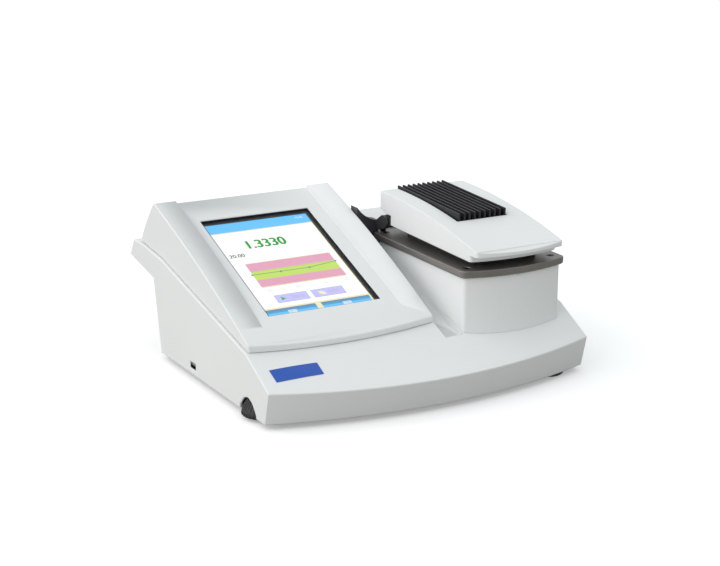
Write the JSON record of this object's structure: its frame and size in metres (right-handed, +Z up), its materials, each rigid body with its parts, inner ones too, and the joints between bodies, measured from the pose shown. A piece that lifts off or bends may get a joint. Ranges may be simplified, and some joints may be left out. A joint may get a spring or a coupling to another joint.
{
  "type": "abbe refractometer",
  "caption": "Digital bench refractometer with a tilted touch console, a bowed base and a measuring head whose finned lid swings up over the prism.",
  "frame": {"origin": "middle of the footprint's box on the bench", "axes": "+Z up, -Y towards the user, +X towards the measuring head"},
  "size_m": [0.385, 0.377, 0.1742],
  "materials": {
    "shell_plastic": "fine satin moulding",
    "cowl_plastic": "satin",
    "plate_metal": "satin dark coating",
    "black_anodised": "black anodised",
    "black_plastic": "matte",
    "rubber_black": "matte",
    "sheet_steel": "plain",
    "bright_steel": "polished",
    "aluminium": "machined",
    "brass": "turned",
    "cell_ceramic": "white",
    "optical_glass": "polished",
    "cover_glass": "clear cover",
    "screen": "lit display",
    "board": "circuit board",
    "lamp": "amber lamp"
  },
  "bodies": {
    "base": {"base_housing": "shell_plastic", "bottom_plate": "sheet_steel", "bottom_screws": "bright_steel", "fixed_feet": "rubber_black", "levelling_bracket": "sheet_steel", "side_usb_port": "bright_steel", "power_inlet": "black_plastic", "switch_frame": "black_plastic", "serial_port": "bright_steel", "network_port": "bright_steel", "rear_usb_ports": "bright_steel", "power_supply": "sheet_steel", "console_shell": "shell_plastic", "display_frame": "black_plastic", "touch_glass": "cover_glass", "lcd_module": "screen", "display_bracket": "sheet_steel", "display_screws": "bright_steel", "main_board": "board", "head_housing": "shell_plastic", "sample_plate": "plate_metal", "plate_screws": "bright_steel", "prism_seat": "bright_steel", "prism": "optical_glass", "peltier_modules": "cell_ceramic", "head_heat_sink": "aluminium", "optics_block": "black_anodised", "led_source": "lamp", "condenser_lens": "optical_glass", "imaging_lens": "optical_glass", "line_sensor": "board", "fan_frame": "black_plastic", "hinge_cowl": "cowl_plastic", "hinge_bracket": "cowl_plastic", "hinge_bushes": "brass"},
    "lid": {"hinge_shaft": "bright_steel", "lid_hinge_block": "aluminium", "lid_shell": "shell_plastic", "lid_floor": "cowl_plastic", "light_seal": "rubber_black", "lid_heat_sink": "black_anodised", "lid_peltier": "cell_ceramic", "lid_screws": "bright_steel", "presser_guide": "brass", "presser_spring": "bright_steel"},
    "presser": {"presser_plate": "bright_steel"},
    "rocker": {"power_rocker": "black_plastic"},
    "level_wheel": {"levelling_wheel": "black_plastic"},
    "level_foot": {"levelling_stud": "bright_steel", "levelling_pad": "rubber_black"},
    "fan": {"fan_rotor": "black_plastic"}
  },
  "joints": [
    {"name": "lid_hinge", "type": "hinge", "parent": "base", "child": "lid", "pos_m": [0.11, 0.0425, 0.139], "axis": [-1, 0, 0], "range_deg": [0, 75]},
    {"name": "presser_slide", "type": "slide", "parent": "lid", "child": "presser", "axis": [0, 0, 1], "range_m": [0, 0.0015], "stiffness_N_per_m": 600, "springref_m": -0.004, "deforming": ["presser_spring"]},
    {"name": "rocker_tip", "type": "hinge", "parent": "base", "child": "rocker", "pos_m": [-0.092, 0.11085, 0.04188], "axis": [1, 0, 0], "range_deg": [0, 20]},
    {"name": "level_turn", "type": "hinge", "parent": "base", "child": "level_wheel", "pos_m": [-0.173, -0.1095, 0.006], "axis": [0, 0, 1], "range_deg": [0, 1440]},
    {"name": "level_travel", "type": "slide", "parent": "base", "child": "level_foot", "axis": [0, 0, -1], "range_m": [0, 0.006]},
    {"name": "fan_spin", "type": "hinge", "parent": "base", "child": "fan", "pos_m": [0.11, 0.0098, 0.0937], "axis": [0, 1, 0], "continuous": true}
  ],
  "couplings": [
    {"joint": "level_turn", "follows": "level_travel", "rad_per_m": 4188.8}
  ]
}
